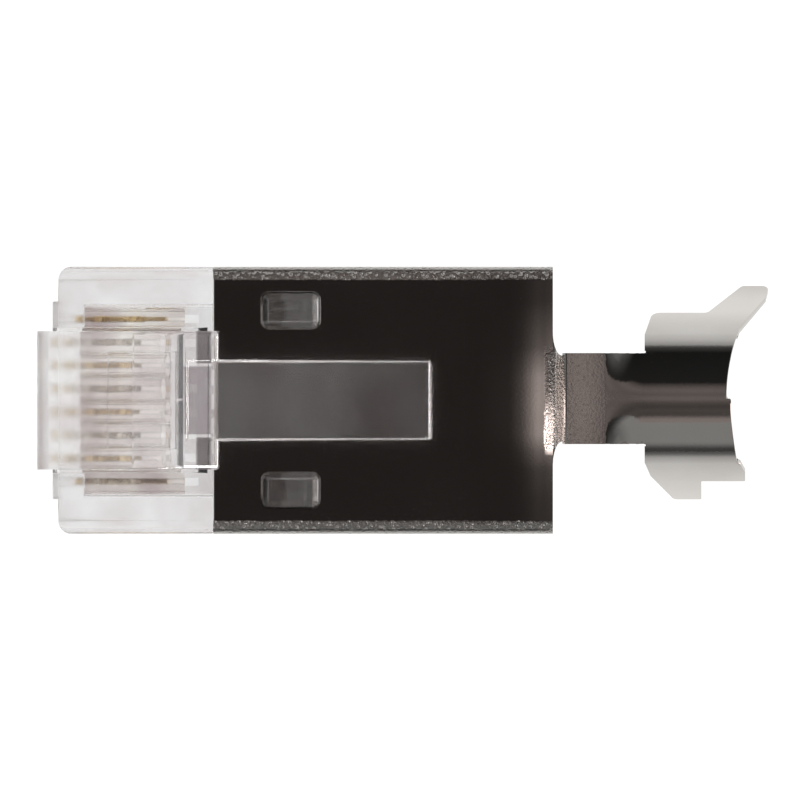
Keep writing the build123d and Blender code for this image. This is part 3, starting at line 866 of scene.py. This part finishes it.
class PLUG_OT_stage(bpy.types.Operator):
    """Light table, studio light and camera"""

    bl_idname = "plug.stage"
    bl_label = "Light Table and Camera"

    def execute(self, context):
        stage = context.scene.plug_stage
        side = stage.table_size
        table = self.add_sheet("light_table", side, side, (ZERO, ZERO, -stage.table_gap))
        table.data.materials.append(self.table_surface(stage))
        low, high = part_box("shield")
        shell_x, tail_x, end_x = low.x, stage.tail_card_start, high.x + stage.card_overhang
        cards = {}
        for name, reach, height, base in (
            ("shell_card", (stage.shell_card_start, tail_x), stage.card_height, stage.card_level),
            ("glow_card", (stage.glow_card_start, tail_x), stage.low_card_height, stage.card_level),
            ("corner_card", (stage.corner_card_start, tail_x), stage.corner_card_height, ZERO),
            ("tail_card", (tail_x, end_x), stage.card_height, ZERO),
            ("front_card", (shell_x, tail_x), stage.card_height, ZERO),
            ("front_shade", (shell_x, tail_x), stage.side_card_height, ZERO),
            ("back_card", (shell_x, tail_x), stage.side_card_height, ZERO),
            ("rear_card", (ZERO, stage.rear_card_height), ZERO, ZERO),
        ):
            cards[name] = self.add_card(stage, name, reach, height, base, *CARD_LIGHT[name])
        for name in ("front_card", "front_shade", "back_card"):
            cards[name].visible_transmission = False
        cards["rear_card"].rotation_euler.y = -pi / 2
        cards["rear_card"].location.x = stage.rear_card_x
        self.light_room(context.scene, stage)
        camera = bpy.data.cameras.new("table_camera")
        camera.type = "ORTHO"
        camera.ortho_scale = stage.frame_width
        holder = bpy.data.objects.new("table_camera", camera)
        holder.location = (stage.centre_x, stage.centre_y, stage.camera_height)
        context.scene.collection.objects.link(holder)
        context.scene.camera = holder
        context.scene.view_settings.view_transform = "Standard"
        steps = context.scene.cycles
        steps.max_bounces = steps.transmission_bounces = stage.light_bounces
        steps.diffuse_bounces = steps.glossy_bounces = stage.light_bounces
        return {"FINISHED"}

    def add_sheet(self, name, length, width, centre):
        """A flat sheet with its place in its mesh."""
        form = bmesh.new()
        corners = [(-1, -1), (1, -1), (1, 1), (-1, 1)]
        points = [
            form.verts.new((centre[0] + x * length / 2, centre[1] + y * width / 2, centre[2]))
            for x, y in corners
        ]
        form.faces.new(points)
        mesh = bpy.data.meshes.new(name)
        form.to_mesh(mesh)
        form.free()
        sheet = bpy.data.objects.new(name, mesh)
        bpy.context.scene.collection.objects.link(sheet)
        return sheet

    def add_card(self, stage, name, reach, height, base, along, across):
        """A card over the plug that only its gloss sees. Rows of X, or of Y, in millimetres set its light."""
        low, high = across[0][0] * MM, across[-1][0] * MM
        centre = ((reach[0] + reach[1]) / 2, (low + high) / 2, height)
        card = self.add_sheet(name, reach[1] - reach[0], high - low, centre)
        card.data.materials.append(self.card_surface(stage, name, base, along, across))
        card.visible_camera = card.visible_diffuse = card.visible_shadow = False
        return card

    def table_surface(self, stage):
        """Opal acrylic lit from below: plain white with almost no shadow, dimmer away from the plug."""
        material, tree, shader, coords = new_material("opal_acrylic")
        shader.inputs["Base Color"].default_value = (0.1, 0.1, 0.1, 1.0)
        shader.inputs["Roughness"].default_value = 0.9
        shader.inputs["Emission Color"].default_value = (1.0, 1.0, 1.0, 1.0)
        parts = add_node(tree, "ShaderNodeSeparateXYZ", {"Vector": coords})
        level = self.add_rows(tree, parts.outputs["Y"], TABLE_LIGHT)
        lit = add_node(tree, "ShaderNodeMath", {0: level, 1: stage.table_glow}, operation="MULTIPLY")
        rays = add_node(tree, "ShaderNodeLightPath")
        glow = add_node(
            tree, "ShaderNodeMapRange",
            {"Value": rays.outputs["Is Camera Ray"], "To Min": lit.outputs["Value"],
             "To Max": stage.table_white},
        )
        tree.links.new(glow.outputs["Result"], shader.inputs["Emission Strength"])
        return material

    def add_rows(self, tree, value, rows):
        """A smooth curve through rows of place, in millimetres, and level."""
        start, end = rows[0][0] * MM, rows[-1][0] * MM
        share = add_node(tree, "ShaderNodeMapRange", {"Value": value, "From Min": start, "From Max": end})
        stops = [((place * MM - start) / (end - start), level) for place, level in rows]
        return set_ramp(
            add_node(tree, "ShaderNodeValToRGB", {"Fac": share.outputs["Result"]}), stops
        ).outputs["Color"]

    def card_surface(self, stage, name, base, along, across):
        """Plain card, its light set by rows along and across the plug."""
        material = bpy.data.materials.new(name)
        material.use_nodes = True
        tree = material.node_tree
        tree.nodes.clear()
        coords = add_node(tree, "ShaderNodeTexCoord").outputs["Object"]
        parts = add_node(tree, "ShaderNodeSeparateXYZ", {"Vector": coords})
        along_light = self.add_rows(tree, parts.outputs["X"], along)
        across_light = self.add_rows(tree, parts.outputs["Y"], across)
        both = add_node(
            tree, "ShaderNodeVectorMath", {0: along_light, 1: across_light}, operation="MULTIPLY"
        )
        raised = add_node(
            tree, "ShaderNodeVectorMath", {0: both.outputs["Vector"], 1: (base, base, base)}, operation="ADD"
        )
        warm = add_node(
            tree, "ShaderNodeVectorMath", {0: raised.outputs["Vector"], 1: linear(stage.card_colour)[:3]},
            operation="MULTIPLY",
        )
        glow = add_node(tree, "ShaderNodeEmission", {"Color": warm.outputs["Vector"]})
        add_node(tree, "ShaderNodeOutputMaterial", {"Surface": glow.outputs["Emission"]})
        return material

    def light_room(self, scene, stage):
        """An even white room, which the metal sees with its dark and grey sides."""
        world = bpy.data.worlds.new("studio")
        scene.world = world
        world.use_nodes = True
        tree = world.node_tree
        tree.nodes.clear()
        direction = add_node(tree, "ShaderNodeTexCoord").outputs["Generated"]
        parts = add_node(tree, "ShaderNodeSeparateXYZ", {"Vector": direction})
        polar = add_node(tree, "ShaderNodeMath", {0: parts.outputs["Z"]}, operation="ARCCOSINE")
        place = add_node(tree, "ShaderNodeMath", {0: polar.outputs["Value"], 1: pi}, operation="DIVIDE")
        ramps = {}
        for name, rows in ROOM_LIGHT.items():
            stops = [(radians(degrees) / pi, value) for degrees, value in rows]
            ramps[name] = set_ramp(
                add_node(tree, "ShaderNodeValToRGB", {"Fac": place.outputs["Value"]}), stops
            ).outputs["Color"]
        level = add_node(tree, "ShaderNodeMath", {0: polar.outputs["Value"]}, operation="SINE")
        across = add_node(
            tree, "ShaderNodeMath", {0: parts.outputs["Y"], 1: level.outputs["Value"]}, operation="DIVIDE"
        )
        near, far = SIDE_RANGE
        to_back = add_node(
            tree, "ShaderNodeMapRange", {"Value": across.outputs["Value"], "From Min": near, "From Max": far}
        )
        to_front = add_node(
            tree, "ShaderNodeMapRange",
            {"Value": across.outputs["Value"], "From Min": -near, "From Max": -far},
        )
        mixed = ramps["side"]
        for share, ramp in ((to_back, "back"), (to_front, "front")):
            mixed = add_node(
                tree, "ShaderNodeMix", {"Factor": share.outputs["Result"], "A": mixed, "B": ramps[ramp]},
                data_type="RGBA",
            ).outputs["Result"]
        rays = add_node(tree, "ShaderNodeLightPath")
        mixed = add_node(
            tree, "ShaderNodeMix",
            {"Factor": rays.outputs["Is Transmission Ray"], "A": mixed, "B": ramps["through"]},
            data_type="RGBA",
        ).outputs["Result"]
        plain = add_node(
            tree, "ShaderNodeMath",
            {0: rays.outputs["Is Camera Ray"], 1: rays.outputs["Is Diffuse Ray"]}, operation="MAXIMUM",
        )
        white = (stage.room_light, stage.room_light, stage.room_light, 1.0)
        along = add_node(
            tree, "ShaderNodeMath", {0: parts.outputs["X"], 1: level.outputs["Value"]}, operation="DIVIDE"
        )
        sideways = add_edge_mask(tree, along.outputs["Value"], ZERO, STRIP_END, STRIP_FADE)
        lit = add_node(tree, "ShaderNodeMath", {0: ramps["strip"], 1: sideways}, operation="MULTIPLY")
        ends = add_node(
            tree, "ShaderNodeMapRange",
            {"Value": along.outputs["Value"], "From Min": -1.0, "To Min": stage.strip_light, "To Max": ZERO},
        )
        strength = add_node(
            tree, "ShaderNodeMapRange",
            {"Value": rays.outputs["Is Transmission Ray"], "To Min": ends.outputs["Result"], "To Max": ZERO},
        )
        power = add_node(
            tree, "ShaderNodeMath", {0: lit.outputs["Value"], 1: strength.outputs["Result"]},
            operation="MULTIPLY",
        )
        mixed = add_node(
            tree, "ShaderNodeVectorMath", {0: mixed, 1: power.outputs["Value"]}, operation="ADD"
        ).outputs["Vector"]
        seen = add_node(
            tree, "ShaderNodeMix", {"Factor": plain.outputs["Value"], "A": mixed, "B": white},
            data_type="RGBA",
        )
        background = add_node(tree, "ShaderNodeBackground", {"Color": seen.outputs["Result"]})
        add_node(tree, "ShaderNodeOutputWorld", {"Surface": background.outputs["Background"]})


class PLUG_OT_shell(bpy.types.Operator):
    """Folded shield with its joggled tail and crimp barrel"""

    bl_idname = "plug.shell"
    bl_label = "Folded Shell"

    def execute(self, context):
        metal = context.scene.plug_metal
        shell = merged_copy("shield", "folded_shell")
        self.refine_forming(shell, metal)
        round_edges(shell, metal.sheet_edge_round, 2, facet_width=FAR)
        self.smooth_tail(shell, metal)
        shell.data.materials.append(bright_nickel())
        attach(shell, "plug")
        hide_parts("shield")
        return {"FINISHED"}

    def tail_bend(self, metal, x):
        """The tail's curvature at one X: flat on the plate, rising smoothly to that of the barrel."""
        share = (x - metal.forming_start) / (metal.forming_end - metal.forming_start)
        share = min(max(share, ZERO), 1.0)
        return max(share * share * (3 - 2 * share), FLAT_SHARE) / metal.barrel_radius

    def tail_normal(self, metal, at):
        """The outward normal of the tail's outer face above a point in the sheet."""
        reach = TAIL_MARGIN
        bend = self.tail_bend(metal, at.x)
        growth = (self.tail_bend(metal, at.x + reach) - self.tail_bend(metal, at.x - reach)) / (2 * reach)
        across = at.y - metal.tail_offset
        rise = at.z - (metal.tail_crest - 1 / bend)
        tilt = across / rise
        slope = (1 - hypot(1.0, tilt)) * growth / (bend * bend)
        return Vector((-slope, tilt, 1.0)).normalized()

    def refine_forming(self, shell, metal):
        """Divides the faces between plate and barrel and lays their points on the smooth curve."""
        form = bmesh.new()
        form.from_mesh(shell.data)
        low, high = metal.forming_start - TAIL_MARGIN / 2, metal.forming_end + TAIL_MARGIN / 2

        def inside(face):
            return all(low < vert.co.x < high for vert in face.verts)

        steps = metal.forming_steps
        cuts = [((low + (high - low) * i / steps, ZERO, ZERO), (1.0, ZERO, ZERO)) for i in range(1, steps)]
        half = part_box("shield")[1].z / 3
        cuts += [
            ((ZERO, metal.tail_offset + half * (2 * i / steps - 1), ZERO), (ZERO, 1.0, ZERO))
            for i in range(1, steps)
        ]
        for place, normal in cuts:
            faces = [face for face in form.faces if inside(face)]
            edges = {edge for face in faces for edge in face.edges}
            verts = {vert for face in faces for vert in face.verts}
            bmesh.ops.bisect_plane(
                form, geom=[*verts, *edges, *faces], dist=2 * SAME_PLACE, plane_co=place, plane_no=normal
            )
        for vert in form.verts:
            if low + TAIL_MARGIN < vert.co.x < high - TAIL_MARGIN:
                bend = self.tail_bend(metal, vert.co.x)
                across = vert.co.y - metal.tail_offset
                for depth in (ZERO, metal.sheet):
                    radius = 1 / bend - depth
                    level = metal.tail_crest - 1 / bend + sqrt(radius * radius - across * across)
                    if abs(vert.co.z - level) < 2 * TAIL_MARGIN:
                        vert.co.z = level
        form.to_mesh(shell.data)
        form.free()

    def smooth_tail(self, shell, metal):
        """Gives the tail's curved faces the smooth curve's normals, so that it mirrors without facets."""
        mesh = shell.data
        normals = [Vector(corner.vector) for corner in mesh.corner_normals]
        edge_reach = metal.barrel_radius * sqrt(3) / 2
        for face in mesh.polygons:
            beside = abs(face.center.y - metal.tail_offset)
            if face.center.x < metal.forming_start or beside > edge_reach:
                continue
            facing = face.normal.dot(self.tail_normal(metal, face.center))
            if abs(facing) < cos(TAIL_TURN):
                continue
            for loop in face.loop_indices:
                at = mesh.vertices[mesh.loops[loop].vertex_index].co
                normals[loop] = self.tail_normal(metal, at) * (1 if facing > 0 else -1)
        mesh.normals_split_custom_set([tuple(normal) for normal in normals])


class PLUG_OT_body(bpy.types.Operator):
    """Clear moulded body and its latch"""

    bl_idname = "plug.body"
    bl_label = "Clear Body and Latch"

    def execute(self, context):
        plastic = context.scene.plug_plastic
        # the latch's finish carries the painted reflection of the shell in its shoulders and root
        clear, shaded = (
            polycarbonate(
                name, plastic.body_colour, plastic.haze, plastic.index, plastic.inner_roughness, image
            )
            for name, image in (("moulded_polycarbonate", False), ("latch_polycarbonate", True))
        )
        joint = moulded_joint()
        body = merged_copy("housing", "clear_body")
        latch = merged_copy("latch", "clear_latch")
        round_edges(body, plastic.edge_round, 3)
        round_edges(latch, plastic.latch_round, 3)
        for piece, node, carrier, finish in (
            (body, "housing", "plug", clear), (latch, "latch", "latch", shaded)
        ):
            piece.data.materials.append(finish)
            piece.data.materials.append(joint)
            self.mark_joint(piece)
            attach(piece, carrier)
            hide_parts(node)
        return {"FINISHED"}

    def mark_joint(self, piece):
        """Gives the joint's finish to the faces where the latch's round root lies in the body."""
        hinge = Vector(frame["joints"][0]["pos_m"])
        root_radius = hinge.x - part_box("latch")[0].x
        for face in piece.data.polygons:
            away = face.center - hinge
            away.y = ZERO
            if away.length < JOINT_SHARE * root_radius and face.center.x > ZERO and abs(face.normal.y) < 0.5:
                face.material_index = 1


class PLUG_OT_load_bar(bpy.types.Operator):
    """Wire load bar with its two rows of bores"""

    bl_idname = "plug.load_bar"
    bl_label = "Load Bar"

    def execute(self, context):
        bar = merged_copy("load_bar", "wire_load_bar")
        plastic = context.scene.plug_plastic
        round_edges(bar, plastic.edge_round, 1)
        bar.data.materials.append(polycarbonate(
            "load_bar_polycarbonate", plastic.bar_colour, plastic.bar_haze, plastic.bar_index,
            plastic.bar_roughness,
        ))
        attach(bar, "plug")
        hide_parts("load_bar")
        return {"FINISHED"}


class PLUG_OT_blades(bpy.types.Operator):
    """Gold contact blades, long and short by turns"""

    bl_idname = "plug.blades"
    bl_label = "Contact Blades"

    def execute(self, context):
        metal = context.scene.plug_metal
        tree = self.row_tree()
        first, second = (sum(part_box(name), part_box(name)[0] * 0) / 2 for name in blade_nodes[:2])
        pitch = second.y - first.y
        for start, name, gold in (
            (0, "long_blades", hard_gold("gold_plated_bronze")),
            (1, "short_blades", hard_gold("gold_edged_bronze", metal.gold_height)),
        ):
            nodes = blade_nodes[start::2]
            row = merged_copy(nodes[0], name)
            round_edges(row, metal.blade_edge_round, 2)
            maker = row.modifiers.new("blade_row", "NODES")
            maker.node_group = tree
            sizes = {"Count": len(nodes), "Pitch": 2 * pitch, "Metal": gold}
            for item in tree.interface.items_tree:
                if item.name in sizes:
                    maker[item.identifier] = sizes[item.name]
            settle(row)
            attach(row, "plug")
            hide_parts(*nodes)
        return {"FINISHED"}

    def row_tree(self):
        """Geometry nodes that set one blade out in a row."""
        tree = bpy.data.node_groups.new("blade_row", "GeometryNodeTree")
        for name, kind in (
            ("Blade", "NodeSocketGeometry"), ("Count", "NodeSocketInt"), ("Pitch", "NodeSocketFloat"),
            ("Metal", "NodeSocketMaterial"),
        ):
            tree.interface.new_socket(name=name, in_out="INPUT", socket_type=kind)
        tree.interface.new_socket(name="Row", in_out="OUTPUT", socket_type="NodeSocketGeometry")
        entry = add_node(tree, "NodeGroupInput")
        step = add_node(tree, "ShaderNodeCombineXYZ", {"Y": entry.outputs["Pitch"]})
        line = add_node(
            tree, "GeometryNodeMeshLine", {"Count": entry.outputs["Count"], "Offset": step.outputs["Vector"]}
        )
        placed = add_node(
            tree, "GeometryNodeInstanceOnPoints",
            {"Points": line.outputs["Mesh"], "Instance": entry.outputs["Blade"]},
        )
        real = add_node(tree, "GeometryNodeRealizeInstances", {"Geometry": placed.outputs["Instances"]})
        plated = add_node(
            tree, "GeometryNodeSetMaterial",
            {"Geometry": real.outputs["Geometry"], "Material": entry.outputs["Metal"]},
        )
        add_node(tree, "NodeGroupOutput", {"Row": plated.outputs["Geometry"]})
        return tree


class PLUG_OT_edge_lights(bpy.types.Operator):
    """Soft lights that draw the edges of the clear latch"""

    bl_idname = "plug.edge_lights"
    bl_label = "Edge Lights"

    def execute(self, context):
        stage = context.scene.plug_stage
        for name, way, level in (
            ("front_light", (0.0, -1.0), stage.front_light), ("rear_light", (1.0, 0.0), stage.rear_light)
        ):
            lamp = bpy.data.lights.new(name, "AREA")
            lamp.shape = "RECTANGLE"
            lamp.size, lamp.size_y = stage.edge_light_length, stage.edge_light_width
            lamp.energy = level * pi * lamp.size * lamp.size_y
            towards = Vector((*way, 1.0)).normalized()
            holder = bpy.data.objects.new(name, lamp)
            aim = Vector((stage.edge_light_centre, ZERO, ZERO))
            holder.location = aim + towards * stage.edge_light_distance
            holder.rotation_euler = towards.to_track_quat("Z", "Y").to_euler()
            holder.visible_diffuse = holder.visible_transmission = holder.visible_camera = False
            lit_alone = bpy.data.collections.new(name)
            lit_alone.objects.link(bpy.data.objects["clear_latch"])
            holder.light_linking.receiver_collection = lit_alone
            context.scene.collection.objects.link(holder)
        return {"FINISHED"}


class PLUG_PT_panel(bpy.types.Panel):
    """Lists the makers of the plug's pieces"""

    bl_idname = "PLUG_PT_panel"
    bl_label = "Modular Plug"
    bl_space_type = "VIEW_3D"
    bl_region_type = "UI"
    bl_category = "Plug"

    def draw(self, context):
        for maker in makers:
            self.layout.operator(maker.bl_idname)


makers = (PLUG_OT_stage, PLUG_OT_shell, PLUG_OT_body, PLUG_OT_load_bar, PLUG_OT_blades, PLUG_OT_edge_lights)
groups = {"plug_stage": PlugStage, "plug_plastic": PlugPlastic, "plug_metal": PlugMetal}


def register():
    for name, group in groups.items():
        bpy.utils.register_class(group)
        setattr(bpy.types.Scene, name, bpy.props.PointerProperty(type=group))
    for maker in makers:
        bpy.utils.register_class(maker)
    bpy.utils.register_class(PLUG_PT_panel)


def unregister():
    bpy.utils.unregister_class(PLUG_PT_panel)
    for maker in reversed(makers):
        bpy.utils.unregister_class(maker)
    for name, group in groups.items():
        delattr(bpy.types.Scene, name)
        bpy.utils.unregister_class(group)


def main():
    """Makes every piece."""
    register()
    bpy.ops.plug.stage()
    bpy.ops.plug.shell()
    bpy.ops.plug.body()
    bpy.ops.plug.load_bar()
    bpy.ops.plug.blades()
    bpy.ops.plug.edge_lights()


if __name__ == "__main__":
    main()
